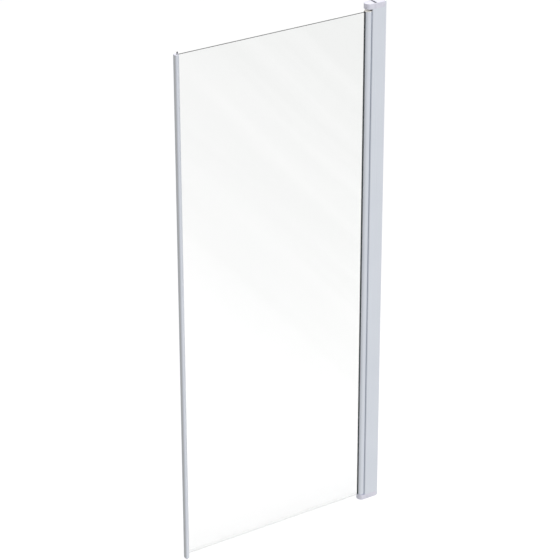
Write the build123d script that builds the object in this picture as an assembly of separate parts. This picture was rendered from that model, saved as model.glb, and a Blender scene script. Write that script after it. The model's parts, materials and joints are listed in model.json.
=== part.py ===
from build123d import *
import math
import os

# Swinging shower door on a wall profile: a glass panel whose round hinge column turns
# in a cup-shaped upright and climbs a helical cam, so that it lifts off the tray and
# falls shut by its own weight. Millimetres. X = 0 is the wall and the door reaches
# towards -X, Y = 0 is the middle of the glass and -Y is the room. The functions count
# Z from the tray; the finished parts are moved down so that Z = 0 is half way up,
# in the middle of the wall screws.

# Overall heights
upright_height = 2000.0
cap_height = 20.5

# Wall channel, fixed to the wall
channel_base_thickness = 2.0
channel_leg_thickness = 1.5
channel_leg_length = 38.0
channel_shown = 6.0
channel_end_gap = 2.5
slide_clearance = 0.25
wall_hole_diameter = 5.5
wall_hole_count = 4
wall_hole_from_end = 100.0

# Upright that slides on the channel and holds the hinge
upright_width = 52.5
upright_wall = 1.6
front_past_cup = 2.05
back_past_cup = 0.05
lip_setback = 7.0
lip_corner_radius = 4.5
web_overlap = 0.8
port_before_web = 1.9
port_inset = 4.4
port_ring_diameter = 6.4
port_hole_diameter = 3.3

# Hinge column, a round extrusion with a slot for the glass
column_radius = 15.0
column_wall = 1.8
cup_clearance = 0.35
column_foot_gap = 0.5
column_top_gap = 8.5
slot_half_width = 5.2
slot_leg_thickness = 1.4
slot_web_thickness = 1.2
slot_web_reach = 7.0
column_port_angle = 50.0
column_port_inset = 2.62
top_plug_flange = 1.5
plug_length = 30.0
plug_clearance = 0.15

# Glass
glass_width = 774.0
glass_thickness = 6.0
glass_foot_gap = 1.0
glass_below_column_top = 1.5
glass_edge_packing = 0.5
packer_length = 80.0
packer_from_end = 40.0
packer_count = 3

# Glazing gaskets between the glass and the column's slot
gasket_lip_width = 3.5
gasket_lip_thickness = 1.1

# Pivot pins, bushes and the rising cam
pin_diameter = 8.0
pin_clearance = 0.05
key_across_flats = 6.9
key_length = 30.0
key_rise_room = 6.4
pin_flange_diameter = 13.0
pin_flange_thickness = 1.5
pin_flange_clearance = 0.1
bush_diameter = 14.0
bush_flange_diameter = 17.0
bush_flange_thickness = 1.0
bush_length = 11.5
washer_thickness = 0.5
washer_bed = 1.9
cam_floor = 4.0
cam_base = 1.0
cam_lift_per_turn = 20.0
cam_starts = 2
cam_steps_per_start = 12
cam_first_stop = 30.0
cam_stop_gap = 1.0
cam_gap = 0.14
cam_pocket_wall = 1.7
cam_fit = 0.05
cam_turning_clearance = 0.3
cam_key_width = 4.0
cam_key_reach = 1.1
cam_key_height = 3.0

# Hinge caps and end covers
cap_past_column = 0.9
cap_overhang_past_web = 0.45
cover_gap = 0.4
cover_wall = 1.6
cover_plate = 1.6
cover_slot_width = 7.0
cover_prong_width = 3.4
cover_prong_front_depth = 1.9
cover_prong_back_depth = 4.5
cover_prong_length = 18.0
cover_prong_play = 0.1
cap_edge_radius = 0.8

# Screws
cap_screw_diameter = 3.2
cap_screw_head_diameter = 6.0
cap_screw_length = 36.0
column_screw_diameter = 3.2
column_screw_head_diameter = 5.2
column_screw_head_height = 1.8
column_screw_length = 16.0
column_screw_seat = 2.5
countersink_angle = 90.0
screw_hole_play = 0.2

# Width adjustment
adjust_screw_count = 3
adjust_screw_from_end = 150.0
adjust_screw_from_wall = 18.5
adjust_screw_diameter = 5.0
adjust_screw_head_diameter = 9.0
adjust_screw_head_height = 3.0
adjust_out = 15.0
adjust_in = 5.0
adjust_slot_play = 0.3
clamp_plate_width = 16.0
clamp_plate_height = 14.0
clamp_plate_thickness = 3.0
screw_cover_diameter = 13.0
screw_cover_height = 4.5
screw_cover_wall = 1.0

# Seals between the cup's lips and the column
cup_seal_width = 2.0
cup_seal_depth = 1.4
cup_seal_gap = 0.2
cup_seal_angle = 55.0

# Edge profile on the free side of the glass, with its magnetic closing strip
edge_half_depth = 11.0
edge_corner_radius = 5.0
edge_slot_depth = 9.0
edge_slot_play = 0.5
edge_wall = 1.5
edge_web = 1.2
edge_front_shoulder = 5.5
edge_front_tip = 0.8
edge_back_shoulder = 10.0
edge_bottom = 3.5
edge_top_above_glass = 0.5
edge_cap_thickness = 1.5
grip_bead_radius = 3.6
grip_bead_reach = 15.8
grip_bead_past_mouth = 3.0
grip_neck_width = 2.6
grip_port_diameter = 2.6
grip_plug_head_diameter = 5.0
grip_plug_head_height = 3.2
grip_plug_depth = 12.0
peg_inset = 2.6
peg_from_edge = 4.6
peg_diameter = 2.2
peg_length = 10.0
peg_fit = 0.1
magnet_cover_half_width = 5.6
magnet_cover_thickness = 3.0
magnet_neck_half_width = 3.4
magnet_neck_length = 1.2
magnet_head_half_width = 5.2
magnet_head_thickness = 1.4
magnet_fit = 0.1
magnet_core_width = 8.0
magnet_core_thickness = 1.8

# Bottom seal, clipped on the lower edge of the glass
seal_leg_height = 12.0
seal_wall = 1.0
seal_base = 1.2
seal_foot_gap = 3.0
seal_fin_thickness = 1.2
seal_fin_splay = 5.0
seal_swing_clearance = 0.6
seal_end_gap = 0.5

# Places that follow from the dimensions above
upright_edge_x = -channel_shown
lip_x = upright_edge_x - upright_width
axis_x = lip_x - lip_setback
cup_radius = column_radius + cup_clearance
ring_radius = cup_radius + upright_wall
front_depth = ring_radius + front_past_cup
back_depth = ring_radius + back_past_cup
front_y = -front_depth
back_y = back_depth
web_x = axis_x + ring_radius - web_overlap
chamber_x = web_x + upright_wall
chamber_front_y = front_y + upright_wall
chamber_back_y = back_y - upright_wall
channel_front_y = chamber_front_y + slide_clearance
channel_back_y = chamber_back_y - slide_clearance
channel_centre_y = (channel_front_y + channel_back_y) / 2
upright_low_z = cap_height
upright_high_z = upright_height - cap_height
port_x = web_x - port_before_web
port_front_y = front_y + port_inset
port_back_y = back_y - port_inset
cap_right_x = web_x + upright_wall + cap_overhang_past_web
cap_end_radius = column_radius + cap_past_column
cam_pocket_radius = cap_end_radius - cam_pocket_wall
cover_left_x = cap_right_x + cover_gap
cover_slot_x = cover_left_x + cover_slot_width
middle_z = upright_height / 2

column_low_z = cap_height + column_foot_gap
column_flange_z = upright_high_z - column_top_gap
column_high_z = column_flange_z - top_plug_flange
column_inner_radius = column_radius - column_wall
slot_mouth_x = axis_x - math.sqrt(column_radius ** 2 - slot_half_width ** 2)
slot_web_x = axis_x - slot_web_reach
slot_web_inner_x = slot_web_x + slot_web_thickness
slot_leg_outer = slot_half_width + slot_leg_thickness

glass_right_x = slot_web_x - glass_edge_packing
glass_left_x = glass_right_x - glass_width
glass_bottom = cap_height + glass_foot_gap
glass_top = column_high_z - glass_below_column_top
glass_half = glass_thickness / 2

edge_slot_end_x = glass_left_x - edge_slot_play
edge_mouth_x = edge_slot_end_x + edge_slot_depth
edge_slot_half = glass_half + edge_slot_play
magnet_chamber_x = edge_slot_end_x - edge_web
magnet_head_x = magnet_chamber_x - magnet_fit
magnet_neck_x = magnet_head_x - magnet_head_thickness
magnet_cover_x = magnet_neck_x - magnet_neck_length
edge_x = magnet_cover_x - magnet_cover_thickness
edge_high_z = glass_top + edge_top_above_glass
edge_extrusion_low_z = edge_bottom + edge_cap_thickness
edge_extrusion_high_z = edge_high_z - edge_cap_thickness

pin_radius = pin_diameter / 2
pin_hole_radius = pin_radius + pin_clearance
key_hole_across_flats = key_across_flats + 2 * pin_clearance
cam_outer_radius = cam_pocket_radius - cam_fit
upper_cam_radius = cam_pocket_radius - cam_turning_clearance
cam_start_angle = 360.0 / cam_starts
cam_rise = cam_lift_per_turn / cam_starts
cam_low_z = cam_floor + cam_fit
cam_helix_z = cam_low_z + cam_base


def rectangle_between(x_low, x_high, y_low, y_high):
    width = x_high - x_low
    depth = y_high - y_low
    return Pos((x_low + x_high) / 2, (y_low + y_high) / 2) * Rectangle(width, depth)


def disc(x, y, radius):
    return Pos(x, y) * Circle(radius)


def extrude_between(section, z_low, z_high):
    return Pos(0, 0, z_low) * extrude(section, z_high - z_low)


def block(x_low, x_high, y_low, y_high, z_low, z_high):
    return extrude_between(rectangle_between(x_low, x_high, y_low, y_high), z_low, z_high)


def rod(x, y, radius, z_low, z_high):
    return extrude_between(disc(x, y, radius), z_low, z_high)


def hexagon(across_flats):
    return Pos(axis_x, 0) * RegularPolygon(across_flats / 2, 6, major_radius=False)


def rounded_corner(section, x, y, radius):
    corner = section.vertices().sort_by_distance((x, y, 0))[0]
    return fillet(corner, radius)


def mirrored_end(part):
    # The same part for the other end of the upright
    return mirror(part, Plane.XY.offset(middle_z))


def evenly_spaced(count, first, last):
    return [first + (last - first) * index / (count - 1) for index in range(count)]


def wall_hole_heights():
    last = upright_height - wall_hole_from_end
    return evenly_spaced(wall_hole_count, wall_hole_from_end, last)


def adjust_screw_heights():
    last = upright_height - adjust_screw_from_end
    return evenly_spaced(adjust_screw_count, adjust_screw_from_end, last)


def upright_ports():
    return [(port_x, port_front_y), (port_x, port_back_y)]


def column_ports():
    reach = column_inner_radius - column_port_inset
    x = axis_x + reach * math.cos(math.radians(column_port_angle))
    y = reach * math.sin(math.radians(column_port_angle))
    return [(x, -y), (x, y)]


def seal_groove(side, reach):
    # A slot across a lip of the cup, from inside the cup out to the given radius
    low = column_radius + cup_seal_gap
    bar = Pos((low + reach) / 2, 0) * Rectangle(reach - low, cup_seal_width)
    return Pos(axis_x, 0) * Rot(0, 0, side * cup_seal_angle) * bar


# Wall channel

def wall_channel():
    outer = rectangle_between(-channel_leg_length, 0, channel_front_y, channel_back_y)
    inner = rectangle_between(
        -channel_leg_length,
        -channel_base_thickness,
        channel_front_y + channel_leg_thickness,
        channel_back_y - channel_leg_thickness,
    )
    channel = extrude_between(outer - inner, channel_end_gap, upright_height - channel_end_gap)
    for z in wall_hole_heights():
        drill = Cylinder(wall_hole_diameter / 2, 4 * channel_base_thickness)
        channel -= Pos(0, 0, z) * Rot(0, 90, 0) * drill
    slot_width = adjust_screw_diameter + 2 * adjust_slot_play
    slot_length = adjust_out + adjust_in + slot_width
    slot_x = -adjust_screw_from_wall + (adjust_in - adjust_out) / 2
    for z in adjust_screw_heights():
        cutter = extrude(SlotOverall(slot_length, slot_width), 4 * channel_leg_thickness, both=True)
        channel -= Pos(slot_x, channel_back_y, z) * Rot(90, 0, 0) * cutter
    return channel


# Upright and what is fixed to it

def upright_section():
    section = rectangle_between(lip_x, upright_edge_x, front_y, back_y)
    section = rounded_corner(section, lip_x, front_y, lip_corner_radius)
    section = rounded_corner(section, lip_x, back_y, lip_corner_radius)
    section -= rectangle_between(chamber_x, upright_edge_x, chamber_front_y, chamber_back_y)
    section -= disc(axis_x, 0, cup_radius)
    for x, y in upright_ports():
        section -= disc(x, y, port_hole_diameter / 2)
    for side in (-1, 1):
        section -= seal_groove(side, cup_radius + cup_seal_depth)
    return section


def upright_profile():
    profile = extrude_between(upright_section(), upright_low_z, upright_high_z)
    for z in adjust_screw_heights():
        drill = Cylinder(adjust_screw_diameter / 2 + adjust_slot_play, 4 * upright_wall)
        profile -= Pos(-adjust_screw_from_wall, back_y, z) * Rot(90, 0, 0) * drill
    return profile


def cup_seals():
    strips = []
    for side in (-1, 1):
        section = seal_groove(side, cup_radius + cup_seal_depth)
        strips.append(extrude_between(section, upright_low_z, upright_high_z))
    return Compound(children=strips)


def cap_outline():
    # Round end about the hinge axis, flush with the upright's front and back faces
    front_half = Pos(axis_x, 0) * Ellipse(cap_end_radius, front_depth)
    back_half = Pos(axis_x, 0) * Ellipse(cap_end_radius, back_depth)
    far = 2 * max(cap_end_radius, front_depth, back_depth)
    front_half &= rectangle_between(axis_x - far, axis_x + far, -far, 0)
    back_half &= rectangle_between(axis_x - far, axis_x + far, 0, far)
    square = rectangle_between(axis_x, cap_right_x, front_y, back_y)
    return front_half + back_half + square


def cap_screw_holes(outer_z, direction):
    # Through holes with a countersink at the outer face; direction points inwards
    holes = []
    for x, y in upright_ports():
        radius = cap_screw_diameter / 2 + screw_hole_play
        z_low = min(outer_z, outer_z + direction * cap_height)
        holes.append(rod(x, y, radius, z_low, z_low + cap_height))
        holes.append(countersunk_head(x, y, outer_z, direction, screw_hole_play / 2))
    return holes


def countersunk_head(x, y, outer_z, direction, play):
    # A cone whose wide end lies in the outer face
    wide = cap_screw_head_diameter / 2 + play
    narrow = cap_screw_diameter / 2 + play
    height = (wide - narrow) / math.tan(math.radians(countersink_angle / 2))
    cone = Cone(narrow, wide, height)
    if direction > 0:
        cone = Rot(180, 0, 0) * cone
    return Pos(x, y, outer_z + direction * height / 2) * cone


def softened_rim(cap, outer_z, joint_x):
    # All round the outer face, apart from the edge at the joint between cap and end cover
    rim = cap.faces().filter_by(Plane.XY).sort_by_distance((joint_x, 0, outer_z))[0]
    edges = rim.outer_wire().edges()
    free = [edge for edge in edges if abs(edge.center().X - joint_x) > cover_gap / 2]
    return chamfer(free, cap_edge_radius)


def top_hinge_cap():
    cap = extrude_between(cap_outline(), upright_high_z, upright_height)
    cap = softened_rim(cap, upright_height, cap_right_x)
    pin_room = bush_length + pin_flange_clearance + pin_flange_thickness + pin_flange_clearance
    cap -= rod(axis_x, 0, bush_diameter / 2, upright_high_z, upright_high_z + pin_room)
    for hole in cap_screw_holes(upright_height, -1):
        cap -= hole
    return cap


def bottom_hinge_cap():
    cap = extrude_between(cap_outline(), 0, cap_height)
    cap = softened_rim(cap, 0, cap_right_x)
    cap -= rod(axis_x, 0, cam_pocket_radius, cam_floor, cap_height)
    bed_radius = pin_flange_diameter / 2 + cup_clearance
    cap -= rod(axis_x, 0, bed_radius, washer_bed, cam_floor)
    for key in cam_keys(cam_fit):
        cap -= key
    for hole in cap_screw_holes(0, 1):
        cap -= hole
    return cap


def end_cover():
    # Top cover over the channel's end; open on its wall side for the channel, and with an
    # open slot on its hinge side. Two prongs hold it in the corners of the upright's chamber
    low = upright_high_z
    plate_low = upright_height - cover_plate
    inner_front_y = front_y + cover_wall
    inner_back_y = back_y - cover_wall
    cover = block(cover_left_x, upright_edge_x, front_y, back_y, low, upright_height)
    cover = softened_rim(cover, upright_height, cover_left_x)
    cover -= block(cover_left_x, upright_edge_x, inner_front_y, inner_back_y, low, plate_low)
    cover -= block(
        cover_left_x, cover_slot_x, inner_front_y, inner_back_y, low, upright_height
    )
    prong_x = cover_left_x + cover_prong_width
    front_reach = inner_front_y + cover_prong_front_depth
    back_reach = inner_back_y - cover_prong_back_depth
    cover += block(cover_left_x, prong_x, inner_front_y, front_reach, low, plate_low)
    cover += block(cover_left_x, prong_x, back_reach, inner_back_y, low, plate_low)
    tip_z = low - cover_prong_length
    chamber_low_y = chamber_front_y + cover_prong_play
    chamber_high_y = chamber_back_y - cover_prong_play
    cover += block(cover_left_x, prong_x, chamber_low_y, front_reach, tip_z, low)
    cover += block(cover_left_x, prong_x, back_reach, chamber_high_y, tip_z, low)
    return cover


def cap_screw(x, y, outer_z, direction):
    head = countersunk_head(x, y, outer_z, direction, 0)
    z_end = outer_z + direction * cap_screw_length
    shank = rod(x, y, cap_screw_diameter / 2, min(outer_z, z_end), max(outer_z, z_end))
    return head + shank - screw_recess(x, y, outer_z, cap_screw_head_diameter)


def screw_recess(x, y, z, head_diameter):
    # Cross recess in a screw head
    length = head_diameter * 0.6
    width = head_diameter * 0.16
    depth = head_diameter * 0.3
    cross = Box(length, width, depth) + Box(width, length, depth)
    return Pos(x, y, z) * cross


def cap_screws():
    screws = []
    for outer_z, direction in ((0, 1), (upright_height, -1)):
        for x, y in upright_ports():
            screws.append(cap_screw(x, y, outer_z, direction))
    return Compound(children=screws)


def adjust_screws():
    head_y = back_y + adjust_screw_head_height
    tip_y = channel_back_y - channel_leg_thickness - clamp_plate_thickness
    screws = []
    for z in adjust_screw_heights():
        shank = Cylinder(adjust_screw_diameter / 2, head_y - tip_y)
        head = Cylinder(adjust_screw_head_diameter / 2, adjust_screw_head_height)
        head = fillet(head.edges().sort_by(Axis.Z)[-1], adjust_screw_head_height / 3)
        recess = Cylinder(adjust_screw_diameter / 4, adjust_screw_head_height)
        head = Pos(0, 0, (head_y - tip_y - adjust_screw_head_height) / 2) * head
        recess = Pos(0, 0, (head_y - tip_y) / 2) * recess
        screw = shank + head - recess
        middle_y = (head_y + tip_y) / 2
        screws.append(Pos(-adjust_screw_from_wall, middle_y, z) * Rot(-90, 0, 0) * screw)
    return Compound(children=screws)


def clamp_plates():
    y_high = channel_back_y - channel_leg_thickness
    y_low = y_high - clamp_plate_thickness
    x_low = -adjust_screw_from_wall - clamp_plate_width / 2
    x_high = -adjust_screw_from_wall + clamp_plate_width / 2
    plates = []
    for z in adjust_screw_heights():
        z_low = z - clamp_plate_height / 2
        plate = block(x_low, x_high, y_low, y_high, z_low, z_low + clamp_plate_height)
        plate = chamfer(plate.edges().filter_by(Axis.Y), clamp_plate_thickness / 3)
        hole = Cylinder(adjust_screw_diameter / 2, 4 * clamp_plate_thickness)
        plates.append(plate - Pos(-adjust_screw_from_wall, y_low, z) * Rot(90, 0, 0) * hole)
    return Compound(children=plates)


def screw_covers():
    covers = []
    for z in adjust_screw_heights():
        shell = Cylinder(screw_cover_diameter / 2, screw_cover_height)
        shell = fillet(shell.edges().sort_by(Axis.Z)[-1], screw_cover_height / 3)
        inside_height = screw_cover_height - screw_cover_wall
        inside = Cylinder(screw_cover_diameter / 2 - screw_cover_wall, inside_height)
        shell -= Pos(0, 0, -screw_cover_wall / 2) * inside
        place = Pos(-adjust_screw_from_wall, back_y + screw_cover_height / 2, z)
        covers.append(place * Rot(-90, 0, 0) * shell)
    return Compound(children=covers)


def top_bush():
    body = rod(axis_x, 0, bush_diameter / 2, upright_high_z, upright_high_z + bush_length)
    flange_low = upright_high_z - bush_flange_thickness
    flange = rod(axis_x, 0, bush_flange_diameter / 2, flange_low, upright_high_z)
    hole = rod(axis_x, 0, pin_hole_radius, flange_low, upright_high_z + bush_length)
    return body + flange - hole


def thrust_washer():
    section = disc(axis_x, 0, pin_flange_diameter / 2) - disc(axis_x, 0, pin_radius / 2)
    return extrude_between(section, washer_bed, washer_bed + washer_thickness)


# Rising cam: a helical staircase with as many starts as there are lobes

def helix_wedges(z_flat, z_start, outer_radius, first_angle):
    # Solid between a flat end at z_flat and a ramp that climbs from z_start by cam_rise
    # over each start; the radial slices are joined by a ruled loft
    reach = 1.2 * outer_radius
    step = cam_start_angle / cam_steps_per_start
    lobes = []
    for start in range(cam_starts):
        slices = []
        for index in range(cam_steps_per_start + 1):
            ramp_z = z_start + cam_rise * index / cam_steps_per_start
            angle = first_angle + start * cam_start_angle + index * step
            plane = Plane.XZ.rotated((0, 0, angle))
            outline = rectangle_between(0, reach, min(z_flat, ramp_z), max(z_flat, ramp_z))
            slices.append(plane * outline)
        lobes.append(loft(slices, ruled=True))
    solid = lobes[0]
    for lobe in lobes[1:]:
        solid += lobe
    return Pos(axis_x, 0, 0) * solid


def cam_keys(play):
    # Two keys that stop the fixed cam from turning in its cap
    keys = []
    for side in (-1, 1):
        y_inner = side * (cam_outer_radius - cam_key_reach)
        y_outer = side * (cam_outer_radius + cam_key_reach + play)
        half = cam_key_width / 2 + play
        keys.append(
            block(
                axis_x - half,
                axis_x + half,
                min(y_inner, y_outer),
                max(y_inner, y_outer),
                cam_floor,
                cam_floor + cam_key_height,
            )
        )
    return keys


def lower_cam():
    ring = disc(axis_x, 0, cam_outer_radius) - disc(axis_x, 0, pin_hole_radius)
    cam = helix_wedges(cam_low_z, cam_helix_z, cam_outer_radius, cam_first_stop)
    cam &= extrude_between(ring, cam_low_z, cam_helix_z + cam_rise)
    for key in cam_keys(0):
        cam += key - rod(axis_x, 0, pin_hole_radius, 0, cap_height)
    return cam


def upper_cam():
    ring = disc(axis_x, 0, upper_cam_radius) - disc(axis_x, 0, pin_hole_radius + pin_clearance)
    ramp_z = cam_helix_z + cam_gap
    first_angle = cam_first_stop + cam_stop_gap
    cam = helix_wedges(column_low_z, ramp_z, upper_cam_radius, first_angle)
    cam &= extrude_between(ring, ramp_z, column_low_z)
    seat_z = column_low_z - column_screw_seat
    for x, y in column_ports():
        cam -= rod(x, y, column_screw_head_diameter / 2 + screw_hole_play, 0, seat_z)
        cam -= rod(x, y, column_screw_diameter / 2 + screw_hole_play, 0, column_low_z)
    return cam


def column_screw(x, y, seat_z, direction):
    # Flat-headed screw; direction points from its head to its tip
    tip_z = seat_z + direction * column_screw_length
    shank = rod(x, y, column_screw_diameter / 2, min(seat_z, tip_z), max(seat_z, tip_z))
    back_z = seat_z - direction * column_screw_head_height
    head_radius = column_screw_head_diameter / 2
    head = rod(x, y, head_radius, min(seat_z, back_z), max(seat_z, back_z))
    return head + shank - screw_recess(x, y, back_z, column_screw_head_diameter)


def cam_screws():
    seat_z = column_low_z - column_screw_seat
    return Compound(children=[column_screw(x, y, seat_z, 1) for x, y in column_ports()])


# Pivot pins that turn with the door but stay at their height

def bottom_pin():
    flange_low = washer_bed + washer_thickness
    flange_high = flange_low + pin_flange_thickness
    flange = rod(axis_x, 0, pin_flange_diameter / 2, flange_low, flange_high)
    round_part = rod(axis_x, 0, pin_radius, flange_low, column_low_z - column_foot_gap)
    key = extrude_between(
        hexagon(key_across_flats), column_low_z - column_foot_gap, column_low_z + key_length
    )
    return flange + round_part + key


def top_pin():
    flange_low = upright_high_z + bush_length + pin_flange_clearance
    flange = rod(axis_x, 0, pin_flange_diameter / 2, flange_low, flange_low + pin_flange_thickness)
    key_high = column_flange_z + key_rise_room
    round_part = rod(axis_x, 0, pin_radius, key_high, flange_low)
    key = extrude_between(hexagon(key_across_flats), column_flange_z - key_length, key_high)
    return flange + round_part + key


# Hinge column and what is fixed in it

def column_slot():
    far_x = axis_x - 2 * column_radius
    return rectangle_between(far_x, slot_web_x, -slot_half_width, slot_half_width)


def column_section():
    shell = disc(axis_x, 0, column_radius) - disc(axis_x, 0, column_inner_radius)
    legs = rectangle_between(
        axis_x - column_radius, slot_web_inner_x, -slot_leg_outer, slot_leg_outer
    )
    section = shell + (legs & disc(axis_x, 0, column_radius)) - column_slot()
    for x, y in column_ports():
        section += disc(x, y, port_ring_diameter / 2) & disc(axis_x, 0, column_radius)
    for x, y in column_ports():
        section -= disc(x, y, port_hole_diameter / 2)
    return section


def hinge_column():
    return extrude_between(column_section(), column_low_z, column_high_z)


def plug_section():
    # Fills the column's inside beside the slot, clear of the screw ports
    section = disc(axis_x, 0, column_inner_radius - plug_clearance)
    section -= rectangle_between(
        axis_x - column_radius,
        slot_web_inner_x + plug_clearance,
        -slot_leg_outer - plug_clearance,
        slot_leg_outer + plug_clearance,
    )
    for x, y in column_ports():
        section -= disc(x, y, port_ring_diameter / 2 + plug_clearance)
    return section.faces().sort_by(SortBy.AREA)[-1] - hexagon(key_hole_across_flats)


def bottom_plug():
    return extrude_between(plug_section(), column_low_z, column_low_z + plug_length)


def top_plug():
    flange = disc(axis_x, 0, column_radius) - hexagon(key_hole_across_flats)
    plug = extrude_between(flange, column_high_z, column_flange_z)
    plug += extrude_between(plug_section(), column_flange_z - plug_length, column_high_z)
    hole_radius = column_screw_diameter / 2 + screw_hole_play
    for x, y in column_ports():
        plug -= rod(x, y, hole_radius, column_high_z, column_flange_z)
    return plug


def plug_screws():
    return Compound(
        children=[column_screw(x, y, column_flange_z, -1) for x, y in column_ports()]
    )


def glass_panel():
    panel = block(glass_left_x, glass_right_x, -glass_half, glass_half, glass_bottom, glass_top)
    long_edges = panel.edges().filter_by(Axis.X)
    return chamfer(long_edges, glass_thickness / 10)


def glass_packers():
    packers = []
    first = glass_bottom + packer_from_end
    last = glass_top - packer_from_end - packer_length
    for z in evenly_spaced(packer_count, first, last):
        z_high = z + packer_length
        packers.append(block(glass_right_x, slot_web_x, -glass_half, glass_half, z, z_high))
    return Compound(children=packers)


def glazing_gasket(side):
    # Strip in the slot beside the glass, with a tapering lip that lies on the glass
    lip_end_x = slot_mouth_x - gasket_lip_width
    lip_y = glass_half + gasket_lip_thickness
    filling = rectangle_between(lip_end_x, slot_web_x, glass_half, slot_half_width)
    filling &= disc(axis_x, 0, column_radius)
    lip = make_face(
        Polyline(
            (slot_web_x, glass_half),
            (lip_end_x, glass_half),
            (slot_mouth_x, lip_y),
            (slot_web_x, lip_y),
            close=True,
        )
    )
    gasket = extrude_between(filling + lip, column_low_z, column_high_z)
    return gasket if side > 0 else mirror(gasket, Plane.XZ)


# Edge profile on the free side

def edge_outline():
    shoulder_x = edge_x + edge_front_shoulder
    tip_y = -(edge_slot_half + edge_front_tip)
    groove_y = edge_slot_half + edge_wall
    back_x = edge_x + edge_back_shoulder
    outline = make_face(
        Polyline(
            (edge_x, -edge_half_depth),
            (shoulder_x, -edge_half_depth),
            (edge_mouth_x, tip_y),
            (edge_mouth_x, groove_y),
            (back_x + edge_wall, groove_y),
            (back_x, edge_half_depth),
            (edge_x, edge_half_depth),
            close=True,
        )
    )
    outline = rounded_corner(outline, edge_x, -edge_half_depth, edge_corner_radius)
    outline = rounded_corner(outline, edge_x, edge_half_depth, edge_corner_radius)
    outline = rounded_corner(outline, shoulder_x, -edge_half_depth, edge_wall)
    outline = rounded_corner(outline, back_x, edge_half_depth, edge_wall)
    return outline


def grip_bead_centre():
    return edge_mouth_x + grip_bead_past_mouth, grip_bead_reach - grip_bead_radius


def edge_plan():
    # The outline with the grip, a bead on a slanting neck behind the glass
    x, y = grip_bead_centre()
    neck = make_face(
        Polyline(
            (edge_mouth_x - grip_neck_width, edge_slot_half),
            (edge_mouth_x, edge_slot_half),
            (x + grip_neck_width / 2, y),
            (x - grip_neck_width / 2, y),
            close=True,
        )
    )
    return edge_outline() + neck + disc(x, y, grip_bead_radius)


def edge_slot():
    return rectangle_between(
        edge_slot_end_x, edge_mouth_x + edge_wall, -edge_slot_half, edge_slot_half
    )


def edge_pegs():
    x = edge_x + peg_from_edge
    y = edge_half_depth - peg_inset
    return [(x, -y), (x, y)]


def magnet_section(play):
    half_cover = magnet_cover_half_width + play / 2
    section = rectangle_between(edge_x, magnet_cover_x, -half_cover, half_cover)
    half_neck = magnet_neck_half_width + play
    section += rectangle_between(magnet_cover_x, magnet_neck_x, -half_neck, half_neck)
    half_head = magnet_head_half_width + play
    section += rectangle_between(
        magnet_neck_x - play, magnet_head_x + play, -half_head, half_head
    )
    return section


def edge_section():
    x, y = grip_bead_centre()
    section = edge_plan() - edge_slot()
    section -= magnet_section(magnet_fit)
    section -= disc(x, y, grip_port_diameter / 2)
    for peg_x, peg_y in edge_pegs():
        section -= disc(peg_x, peg_y, peg_diameter / 2 + peg_fit)
    return section


def edge_profile():
    return extrude_between(edge_section(), edge_extrusion_low_z, edge_extrusion_high_z)


def edge_liner():
    # Thin channel of soft plastic between the glass and the edge profile
    outer = rectangle_between(edge_slot_end_x, edge_mouth_x, -edge_slot_half, edge_slot_half)
    inner = rectangle_between(glass_left_x, edge_mouth_x, -glass_half, glass_half)
    return extrude_between(outer - inner, glass_bottom, edge_extrusion_high_z)


def magnet_strip():
    section = magnet_section(0)
    for side in (-1, 1):
        section = rounded_corner(
            section, edge_x, side * magnet_cover_half_width, magnet_cover_thickness / 4
        )
    section -= magnet_core_section()
    return extrude_between(section, edge_extrusion_low_z, edge_extrusion_high_z)


def magnet_core_section():
    middle_x = edge_x + magnet_cover_thickness / 2
    half_x = magnet_core_thickness / 2
    half_y = magnet_core_width / 2
    return rectangle_between(middle_x - half_x, middle_x + half_x, -half_y, half_y)


def magnet_core():
    return extrude_between(magnet_core_section(), edge_extrusion_low_z, edge_extrusion_high_z)


def edge_cap_plate(z_low, z_high):
    x, y = grip_bead_centre()
    section = edge_plan() - disc(x, y, grip_port_diameter / 2)
    return extrude_between(section, z_low, z_high)


def edge_top_cap():
    cap = edge_cap_plate(edge_extrusion_high_z, edge_high_z)
    cap -= extrude_between(edge_slot(), edge_extrusion_high_z, edge_high_z)
    for x, y in edge_pegs():
        cap += rod(x, y, peg_diameter / 2, edge_extrusion_high_z - peg_length, edge_extrusion_high_z)
    return cap


def edge_bottom_cap():
    # Carries a block that fills the slot up to the lower edge of the glass
    cap = edge_cap_plate(edge_bottom, edge_extrusion_low_z)
    for x, y in edge_pegs():
        cap += rod(x, y, peg_diameter / 2, edge_extrusion_low_z, edge_extrusion_low_z + peg_length)
    cap += block(
        edge_slot_end_x + peg_fit,
        edge_mouth_x,
        -edge_slot_half + peg_fit,
        edge_slot_half - peg_fit,
        edge_extrusion_low_z,
        glass_bottom,
    )
    return cap


def grip_plugs():
    x, y = grip_bead_centre()
    radius = grip_port_diameter / 2
    head_radius = grip_plug_head_diameter / 2
    top = rod(x, y, head_radius, edge_high_z, edge_high_z + grip_plug_head_height)
    top = fillet(top.edges().sort_by(Axis.Z)[-1], grip_plug_head_height / 3)
    top += rod(x, y, radius, edge_high_z - grip_plug_depth, edge_high_z)
    bottom_head = edge_bottom - grip_plug_head_height / 2
    bottom = rod(x, y, head_radius, bottom_head, edge_bottom)
    bottom += rod(x, y, radius, edge_bottom, edge_bottom + grip_plug_depth)
    return Compound(children=[top, bottom])


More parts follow.
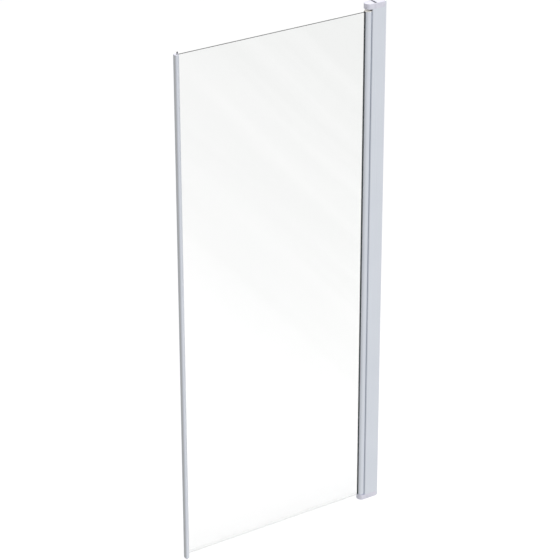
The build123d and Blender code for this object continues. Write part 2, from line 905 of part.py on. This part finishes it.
def bottom_seal():
    # Clip on the glass with an upright wiper and a splayed drip fin
    outer_half = glass_half + seal_wall
    low = glass_bottom - seal_base
    clip = make_face(
        Polyline(
            (-outer_half, low),
            (outer_half, low),
            (outer_half, glass_bottom + seal_leg_height),
            (glass_half, glass_bottom + seal_leg_height),
            (glass_half, glass_bottom),
            (-glass_half, glass_bottom),
            (-glass_half, glass_bottom + seal_leg_height),
            (-outer_half, glass_bottom + seal_leg_height),
            close=True,
        )
    )
    half_fin = seal_fin_thickness / 2
    wiper = rectangle_between(-half_fin, half_fin, seal_foot_gap, low)
    root_y = outer_half - seal_fin_thickness
    drip_low = (low + seal_foot_gap) / 2
    drip = make_face(
        Polyline(
            (root_y, low),
            (outer_half, low),
            (outer_half + seal_fin_splay, drip_low),
            (root_y + seal_fin_splay, drip_low),
            close=True,
        )
    )
    section = clip + wiper + drip
    x_low = grip_bead_centre()[0] + grip_bead_radius + seal_end_gap
    x_high = axis_x - front_depth - seal_swing_clearance
    solid = extrude(Plane.YZ * section, x_high - x_low)
    return Pos(x_low, 0, 0) * solid


sub_parts = {
    "wall_channel": wall_channel(),
    "upright_profile": upright_profile(),
    "top_hinge_cap": top_hinge_cap(),
    "bottom_hinge_cap": bottom_hinge_cap(),
    "top_end_cover": end_cover(),
    "bottom_end_cover": mirrored_end(end_cover()),
    "cap_screws": cap_screws(),
    "adjust_screws": adjust_screws(),
    "clamp_plates": clamp_plates(),
    "screw_covers": screw_covers(),
    "cup_seals": cup_seals(),
    "top_bush": top_bush(),
    "thrust_washer": thrust_washer(),
    "lower_cam": lower_cam(),
    "top_pin": top_pin(),
    "bottom_pin": bottom_pin(),
    "hinge_column": hinge_column(),
    "upper_cam": upper_cam(),
    "cam_screws": cam_screws(),
    "bottom_column_plug": bottom_plug(),
    "top_column_plug": top_plug(),
    "plug_screws": plug_screws(),
    "glass_panel": glass_panel(),
    "front_glazing_gasket": glazing_gasket(-1),
    "back_glazing_gasket": glazing_gasket(1),
    "glass_packers": glass_packers(),
    "edge_profile": edge_profile(),
    "edge_liner": edge_liner(),
    "magnet_strip": magnet_strip(),
    "magnet_core": magnet_core(),
    "edge_top_cap": edge_top_cap(),
    "edge_bottom_cap": edge_bottom_cap(),
    "grip_plugs": grip_plugs(),
    "bottom_seal": bottom_seal(),
}

os.makedirs("parts", exist_ok=True)
for name, shape in sub_parts.items():
    export_step(Pos(0, 0, -middle_z) * shape, f"parts/{name}.step")
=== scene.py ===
import json
import math

import bpy
import numpy as np
from mathutils import Matrix, Vector

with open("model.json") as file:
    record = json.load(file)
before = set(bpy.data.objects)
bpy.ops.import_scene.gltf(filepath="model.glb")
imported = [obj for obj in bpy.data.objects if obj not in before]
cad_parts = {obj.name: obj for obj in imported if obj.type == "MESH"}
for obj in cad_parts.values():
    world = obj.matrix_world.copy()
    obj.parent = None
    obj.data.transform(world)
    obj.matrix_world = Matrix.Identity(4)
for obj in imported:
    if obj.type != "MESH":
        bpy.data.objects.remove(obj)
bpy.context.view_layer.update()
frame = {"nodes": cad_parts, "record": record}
nodes = frame["nodes"]
print("frame loaded:", len(nodes), "nodes")


def srgb(code):
    # "#rrggbb" as written in a paint program, turned to linear light
    values = [int(code[i:i + 2], 16) / 255 for i in (1, 3, 5)]
    linear = [v / 12.92 if v <= 0.04045 else ((v + 0.055) / 1.055) ** 2.4 for v in values]
    return (*linear, 1.0)


def addNode(tree, kind, settings=None, inputs=None):
    # one node: its own settings by name, then a value or another node's socket per input
    node = tree.nodes.new(kind)
    for name, value in (settings or {}).items():
        setattr(node, name, value)
    for name, value in (inputs or {}).items():
        if isinstance(value, bpy.types.NodeSocket):
            tree.links.new(value, node.inputs[name])
        else:
            node.inputs[name].default_value = value
    return node


def newMaterial(name):
    material = bpy.data.materials.new(name)
    material.use_nodes = True
    material.node_tree.nodes.clear()
    return material, material.node_tree


def finishMaterial(tree, shader):
    addNode(tree, "ShaderNodeOutputMaterial", {}, {"Surface": shader.outputs[0]})


def objectCoords(tree):
    # places on the piece, in metres
    return addNode(tree, "ShaderNodeTexCoord").outputs["Object"]


def maths(tree, operation, first, second, clamped=False):
    return addNode(
        tree, "ShaderNodeMath", {"operation": operation, "use_clamp": clamped}, {0: first, 1: second}
    ).outputs[0]


def noise(tree, coords, cell, detail, roughness=0.55):
    # soft cells of this size in metres along x, y and z
    vector = addNode(
        tree, "ShaderNodeMapping", {}, {"Vector": coords, "Scale": [1 / size for size in cell]}
    ).outputs["Vector"]
    return addNode(
        tree, "ShaderNodeTexNoise", {},
        {"Vector": vector, "Scale": 1.0, "Detail": detail, "Roughness": roughness},
    ).outputs["Fac"]


def spread(tree, factor, low, high, start=0.3, end=0.7):
    # a number that goes from low to high while the factor goes from start to end
    return addNode(
        tree, "ShaderNodeMapRange", {"clamp": True},
        {"Value": factor, "From Min": start, "From Max": end, "To Min": low, "To Max": high},
    ).outputs["Result"]


def between(tree, factor, first, second):
    # two colours mixed by a factor
    return addNode(
        tree, "ShaderNodeMix", {"data_type": "RGBA"}, {0: factor, 6: first, 7: second}
    ).outputs[2]


def amountBetween(tree, factor, first, second):
    # two numbers mixed by a factor
    return addNode(
        tree, "ShaderNodeMix", {"data_type": "FLOAT"}, {0: factor, 2: first, 3: second}
    ).outputs[0]


def bump(tree, height, strength, distance):
    return addNode(
        tree, "ShaderNodeBump", {}, {"Height": height, "Strength": strength, "Distance": distance}
    ).outputs["Normal"]


def solidShader(tree, look, shade, relief):
    # two shades by one pattern, sheen and fine relief by another; the look's own shader values,
    # such as Metallic or IOR, go in as they are
    shader = addNode(
        tree, "ShaderNodeBsdfPrincipled", {},
        {
            "Base Color": between(tree, shade, srgb(look["deep"]), srgb(look["pale"])),
            "Roughness": spread(tree, relief, *look["roughness"]),
            "Normal": bump(tree, relief, *look["relief"]),
            **look["shader"],
        },
    )
    finishMaterial(tree, shader)


def patterned(name, look):
    # a plain material: all of it follows the grain, or the shades follow a coarser cloud
    material, tree = newMaterial(name)
    relief = noise(tree, objectCoords(tree), look["grain"], look["detail"])
    shade = relief
    if "cloud" in look:
        shade = noise(tree, objectCoords(tree), look["cloud"], look["detail"])
    solidShader(tree, look, spread(tree, shade, 0, 1), relief)
    return material


def anodisedAluminium():
    # extruded 6063, chemically brightened and silver anodised: a satin metal with die lines
    # along its length; the lines are about 0.3 mm apart and are drawn 2.5 mm apart to show
    look = {
        "pale": "#D8DCE3",
        "deep": "#CFD4DC",
        "lines": (0.0025, 0.0025, 5 / 6),
        "lineDetail": 4.0,
        "lineShare": 0.65,
        "cloud": (0.18, 0.18, 0.18),
        "cloudDetail": 2.0,
        "cloudShare": 0.35,
        "roughness": (0.27, 0.36),
        "relief": (0.08, 0.0004),
        "shader": {"Metallic": 1.0},
    }
    material, tree = newMaterial("anodised_aluminium_extrusion")
    lines = noise(tree, objectCoords(tree), look["lines"], look["lineDetail"])
    cloud = noise(tree, objectCoords(tree), look["cloud"], look["cloudDetail"])
    shade = addNode(
        tree, "ShaderNodeMath", {"operation": "MULTIPLY_ADD"},
        {0: lines, 1: look["lineShare"], 2: spread(tree, cloud, 0.0, look["cloudShare"])},
    ).outputs[0]
    solidShader(tree, look, shade, lines)
    return material


def lacqueredPlastic():
    # injection-moulded ABS under a silver metallic lacquer, which gives it nearly the shine of
    # the aluminium beside it; the mould's grain is about 0.4 mm across and is drawn at 1 mm
    look = {
        "pale": "#D9D8E2",
        "deep": "#CFCFDA",
        "grain": (0.001, 0.001, 0.001),
        "cloud": (0.011, 0.011, 0.011),
        "detail": 2.0,
        "roughness": (0.32, 0.42),
        "relief": (0.1, 0.00012),
        "shader": {"Metallic": 0.95},
    }
    return patterned("lacquered_abs_silver", look)


def extrudedRubber():
    # EPDM rubber strip: dark grey, matt, with faint drag lines along its length
    look = {
        "pale": "#3F4449",
        "deep": "#33373B",
        "grain": (0.0015, 0.0015, 1 / 6),
        "detail": 3.0,
        "roughness": (0.52, 0.66),
        "relief": (0.15, 0.0002),
        "shader": {"IOR": 1.5},
    }
    return patterned("extruded_epdm_rubber", look)


def blackNylon():
    # injection-moulded nylon, black, with a soft sheen
    look = {
        "pale": "#25272A",
        "deep": "#17181A",
        "grain": (0.0012, 0.0012, 0.0012),
        "detail": 2.0,
        "roughness": (0.4, 0.52),
        "relief": (0.1, 0.0001),
        "shader": {"IOR": 1.53},
    }
    return patterned("moulded_nylon_black", look)


def blackenedSteelAndShade():
    # carbon steel screws, chemically blackened and oiled: near black with a satin shine; the near black
    # is also painted shade, standing in for the dark hollow of the cup under the top cap where they sit
    look = {
        "pale": "#2B2C2F",
        "deep": "#1C1D1F",
        "grain": (0.0008, 0.0008, 0.0008),
        "detail": 2.0,
        "roughness": (0.38, 0.5),
        "relief": (0.1, 0.0001),
        "shader": {"Metallic": 0.9},
    }
    return patterned("blackened_steel_and_painted_shade", look)


def turnedSteel():
    # stainless steel, turned and passivated: fine rings, drawn 0.5 mm apart
    look = {
        "pale": "#C9CACC",
        "deep": "#AFB1B4",
        "grain": (1 / 60, 1 / 60, 0.0005),
        "detail": 2.0,
        "roughness": (0.24, 0.36),
        "relief": (0.1, 0.0001),
        "shader": {"Metallic": 1.0},
    }
    return patterned("turned_stainless_steel", look)


def naturalAcetal():
    # moulded acetal without pigment: off-white and waxy, with faint 4 mm clouds
    look = {
        "pale": "#F0EEE8",
        "deep": "#E6E3DB",
        "grain": (0.004, 0.004, 0.004),
        "detail": 2.0,
        "roughness": (0.32, 0.42),
        "relief": (0.05, 0.0002),
        "shader": {"IOR": 1.48},
    }
    return patterned("moulded_acetal_natural", look)


def clearVinyl():
    # soft extruded PVC: clear, a little milky, with drag lines along its length; so thin that
    # most of what is behind it shows straight through
    look = {
        "pale": "#F6FAFA",
        "deep": "#EAF1F1",
        "grain": (2 / 3, 0.002, 0.002),
        "detail": 3.0,
        "roughness": (0.18, 0.3),
        "relief": (0.1, 0.0002),
        "shader": {"IOR": 1.53, "Alpha": 0.025},
    }
    return patterned("extruded_pvc_clear", look)


def greyVinyl():
    # co-extruded PVC sleeve of the closing strip: mid grey, satin, drag lines along it
    look = {
        "pale": "#B9BBBE",
        "deep": "#AEB0B3",
        "grain": (0.002, 0.002, 1 / 3),
        "detail": 3.0,
        "roughness": (0.4, 0.5),
        "relief": (0.1, 0.0002),
        "shader": {"IOR": 1.53},
    }
    return patterned("extruded_pvc_grey", look)


def magnetRubber():
    # flexible ferrite magnet: brown-black, matt, powdery
    look = {
        "pale": "#3A332E",
        "deep": "#2A2521",
        "grain": (0.001, 0.001, 0.001),
        "detail": 2.0,
        "roughness": (0.7, 0.85),
        "relief": (0.15, 0.0001),
        "shader": {"IOR": 1.5},
    }
    return patterned("bonded_ferrite_magnet", look)


def toughenedGlass():
    # 6 mm float glass, toughened: clear polished faces with a painted reflection, a faint grey laid on
    # in long slanting streaks that fades towards the low free corner, and a painted shadow at the foot;
    # the top edge is matt from grinding, and its near-black colour is painted shade for the dark line
    # that light coming down the whole pane gives it
    look = {
        "clear": "#FFFFFF",
        # colour of the painted reflection and of the painted shadow at the foot
        "paintedReflectionAndShadow": "#EFF0EF",
        # painted shade: the dark line along the top edge
        "edge": "#141615",
        # the painted reflection grows up and towards the hinge, and the painted shadow lies at the
        # foot;
        # each row of four is its amount at two places, then those places in metres: along that way, and
        # for the foot in height
        "reflectionTowards": (0.734, 0.0, 0.679),
        "thinReflection": (0.0, 0.6, -0.62, -0.34),
        "thickReflection": (0.0, 0.4, -0.34, 0.45),
        "footShadow": (0.2, 0.0, -0.98, -0.84),
        # slanting streaks in the painted reflection
        "streakSlant": -47.0,
        "reflectionStreaks": (5 / 3, 5 / 3, 0.09),
        "streakDetail": 2.0,
        "streakStrength": (0.8, 1.1),
        # how far up a face looks where it begins to be rough from grinding and painted dark, and where
        # it wholly is
        "groundFrom": 0.3,
        "groundTo": 0.6,
        "groundRoughness": 0.35,
        "groundShine": 0.03,
        "polishedShine": 0.5,
        "ior": 1.52,
    }
    material, tree = newMaterial("toughened_float_glass")
    coords = objectCoords(tree)
    along = addNode(
        tree, "ShaderNodeVectorMath", {"operation": "DOT_PRODUCT"},
        {0: coords, 1: look["reflectionTowards"]},
    ).outputs["Value"]
    height = addNode(tree, "ShaderNodeSeparateXYZ", {}, {"Vector": coords}).outputs["Z"]
    # painted reflection along the pane, plus painted shadow at its foot
    thinReflectionAndFootShadow = maths(
        tree, "ADD", spread(tree, along, *look["thinReflection"]), spread(tree, height, *look["footShadow"])
    )
    reflectionAndFootShadow = maths(tree, "ADD", thinReflectionAndFootShadow, spread(tree, along, *look["thickReflection"]))
    turned = addNode(
        tree, "ShaderNodeMapping", {},
        {"Vector": coords, "Rotation": (0.0, math.radians(look["streakSlant"]), 0.0)},
    ).outputs["Vector"]
    # streaks in the painted reflection
    reflectionStreaks = noise(tree, turned, look["reflectionStreaks"], look["streakDetail"])
    paintedReflectionAndShadow = maths(tree, "MULTIPLY", reflectionAndFootShadow, spread(tree, reflectionStreaks, *look["streakStrength"]), True)
    # the pane's colour: clear, greyed where the reflection and the shadow are painted
    pane = between(tree, paintedReflectionAndShadow, srgb(look["clear"]), srgb(look["paintedReflectionAndShadow"]))
    # which way a face looks: 1 up, -1 down; its normal turns over where it is seen from inside
    geometry = addNode(tree, "ShaderNodeNewGeometry")
    seenUp = addNode(
        tree, "ShaderNodeSeparateXYZ", {}, {"Vector": geometry.outputs["True Normal"]}
    ).outputs["Z"]
    side = spread(tree, geometry.outputs["Backfacing"], 1.0, -1.0, 0.0, 1.0)
    upward = maths(tree, "MULTIPLY", seenUp, side)
    # faces that look up are rough from grinding and carry the painted edge shade
    groundAndEdgeShade = spread(tree, upward, 0.0, 1.0, look["groundFrom"], look["groundTo"])
    shine = spread(tree, groundAndEdgeShade, look["polishedShine"], look["groundShine"], 0.0, 1.0)
    shader = addNode(
        tree, "ShaderNodeBsdfPrincipled", {},
        {
            # painted edge shade on top, painted reflection and shadow elsewhere
            "Base Color": between(tree, groundAndEdgeShade, pane, srgb(look["edge"])),
            "Roughness": spread(tree, groundAndEdgeShade, 0.0, look["groundRoughness"], 0.0, 1.0),
            "IOR": look["ior"],
            "Specular IOR Level": shine,
            "Transmission Weight": 1.0,
        },
    )
    finishMaterial(tree, shader)
    return material


finishes = {
    "anodised_aluminium": anodisedAluminium(),
    "cap_plastic": lacqueredPlastic(),
    "steel": turnedSteel(),
    "black_steel": blackenedSteelAndShade(),
    "bearing_plastic": naturalAcetal(),
    "black_rubber": extrudedRubber(),
    "black_plastic": blackNylon(),
    "safety_glass": toughenedGlass(),
    "clear_plastic": clearVinyl(),
    "grey_plastic": greyVinyl(),
    "magnet_rubber": magnetRubber(),
}

for part in frame["record"]["subparts"]:
    piece = nodes[part["node"]]
    piece.data.materials.clear()
    piece.data.materials.append(finishes[part["material_slot"]])
print("materials given to", len(nodes), "nodes")


studio = {
    "floorLevel": -1.0005,
    "floorReach": 30.0,
    "floorColour": "#C4C4C4",
    "floorGlow": 0.55,
    "skyColour": "#FFFFFF",
    # matt surfaces: dim at the side and pale overhead, between two heights of the direction
    "skySide": 0.62,
    "skyTop": 0.85,
    "skyHeights": (-0.1, 0.9),
    # metal: dim away from the pale side and bright towards it, and brightest overhead
    "paleSide": (0.77, -0.64, 0.0),
    "mirrorDark": 0.64,
    "mirrorPale": 1.0,
    "mirrorTurns": (-0.85, 0.4),
    "mirrorTop": 1.56,
    "mirrorHeights": (0.0, 0.4),
}


def seenDirectly(tree):
    # 1 for what the camera sees, also through glass, and 0 for the light that falls on pieces
    path = addNode(tree, "ShaderNodeLightPath")
    return maths(tree, "ADD", path.outputs["Is Camera Ray"], path.outputs["Is Transmission Ray"], True)


def makeFloor():
    # flat sheet: x and y run over the square, z is the tray level
    reach = studio["floorReach"]
    x, y = np.meshgrid((-reach, reach), (-reach, reach))
    points = np.stack([x.ravel(), y.ravel(), np.full(4, studio["floorLevel"])], axis=1)
    mesh = bpy.data.meshes.new("floor")
    mesh.from_pydata(points.tolist(), [], [(0, 1, 3, 2)])
    floor = bpy.data.objects.new("floor", mesh)
    bpy.context.scene.collection.objects.link(floor)
    # white painted board, which glows where it is looked at so that it fades into the sky
    material, tree = newMaterial("painted_floor_white")
    paint = addNode(tree, "ShaderNodeBsdfDiffuse", {}, {"Color": srgb(studio["floorColour"])})
    strength = maths(tree, "MULTIPLY", seenDirectly(tree), studio["floorGlow"])
    glow = addNode(tree, "ShaderNodeEmission", {}, {"Strength": strength})
    both = addNode(tree, "ShaderNodeAddShader", {}, {0: paint.outputs[0], 1: glow.outputs[0]})
    finishMaterial(tree, both)
    mesh.materials.append(material)
    floor.visible_glossy = False


def makeWorld():
    # white to the camera and through glass; soft and paler overhead for matt surfaces;
    # in metal it runs from a dim side to a pale side, as a room with one window wall does
    world = bpy.data.worlds.new("studio")
    bpy.context.scene.world = world
    world.use_nodes = True
    tree = world.node_tree
    tree.nodes.clear()
    direction = addNode(tree, "ShaderNodeTexCoord").outputs["Generated"]
    height = addNode(tree, "ShaderNodeSeparateXYZ", {}, {"Vector": direction}).outputs["Z"]
    soft = spread(tree, height, studio["skySide"], studio["skyTop"], *studio["skyHeights"])
    turn = addNode(
        tree, "ShaderNodeVectorMath", {"operation": "DOT_PRODUCT"},
        {0: direction, 1: studio["paleSide"]},
    ).outputs["Value"]
    level = spread(tree, turn, studio["mirrorDark"], studio["mirrorPale"], *studio["mirrorTurns"])
    overhead = spread(tree, height, 0.0, 1.0, *studio["mirrorHeights"])
    mirror = amountBetween(tree, overhead, level, studio["mirrorTop"])
    path = addNode(tree, "ShaderNodeLightPath")
    fallen = amountBetween(tree, path.outputs["Is Glossy Ray"], soft, mirror)
    sky = addNode(
        tree, "ShaderNodeBackground", {},
        {
            "Color": srgb(studio["skyColour"]),
            "Strength": amountBetween(tree, seenDirectly(tree), fallen, 1.0),
        },
    )
    addNode(tree, "ShaderNodeOutputWorld", {}, {"Surface": sky.outputs[0]})


lamps = {
    "key": {"place": (-2.2, -4.0, 3.0), "size": 2.6, "power": 105.0},
    "top": {"place": (-0.6, 0.6, 4.4), "size": 3.0, "power": 20.0},
}
lampAim = (-0.4, 0.0, 0.0)


def makeLamp(name, place, size, power):
    # a square soft lamp that lights the part and isn't seen in its metal
    lamp = bpy.data.lights.new(name, "AREA")
    lamp.size = size
    lamp.energy = power
    holder = bpy.data.objects.new(name, lamp)
    bpy.context.scene.collection.objects.link(holder)
    holder.location = place
    aim = Vector(lampAim) - Vector(place)
    holder.rotation_euler = aim.to_track_quat("-Z", "Y").to_euler()
    holder.visible_glossy = False


view = {
    "target": (-0.4348, 0.0, 0.0266),
    "yaw": 33.394,
    "pitch": 25.796,
    "roll": -0.058,
    "distance": 8.4944,
    "lens": 152.6,
    "sensorWidth": 36.0,
    "farthest": 100.0,
}


def makeCamera():
    # looks at the target from the distance; the angles are in degrees
    yaw, pitch = math.radians(view["yaw"]), math.radians(view["pitch"])
    ahead = Vector((math.sin(yaw) * math.cos(pitch), math.cos(yaw) * math.cos(pitch), -math.sin(pitch)))
    data = bpy.data.cameras.new("camera")
    data.lens = view["lens"]
    data.sensor_width = view["sensorWidth"]
    data.clip_end = view["farthest"]
    camera = bpy.data.objects.new("camera", data)
    bpy.context.scene.collection.objects.link(camera)
    turn = ahead.to_track_quat("-Z", "Y").to_matrix().to_4x4()
    roll = Matrix.Rotation(math.radians(view["roll"]), 4, "Z")
    place = Matrix.Translation(Vector(view["target"]) - ahead * view["distance"])
    camera.matrix_world = place @ turn @ roll
    bpy.context.scene.camera = camera


makeFloor()
makeWorld()
for lampName, lamp in lamps.items():
    makeLamp(lampName, **lamp)
makeCamera()
bpy.context.scene.view_settings.view_transform = "Standard"
print("stage, lamps and camera ready")
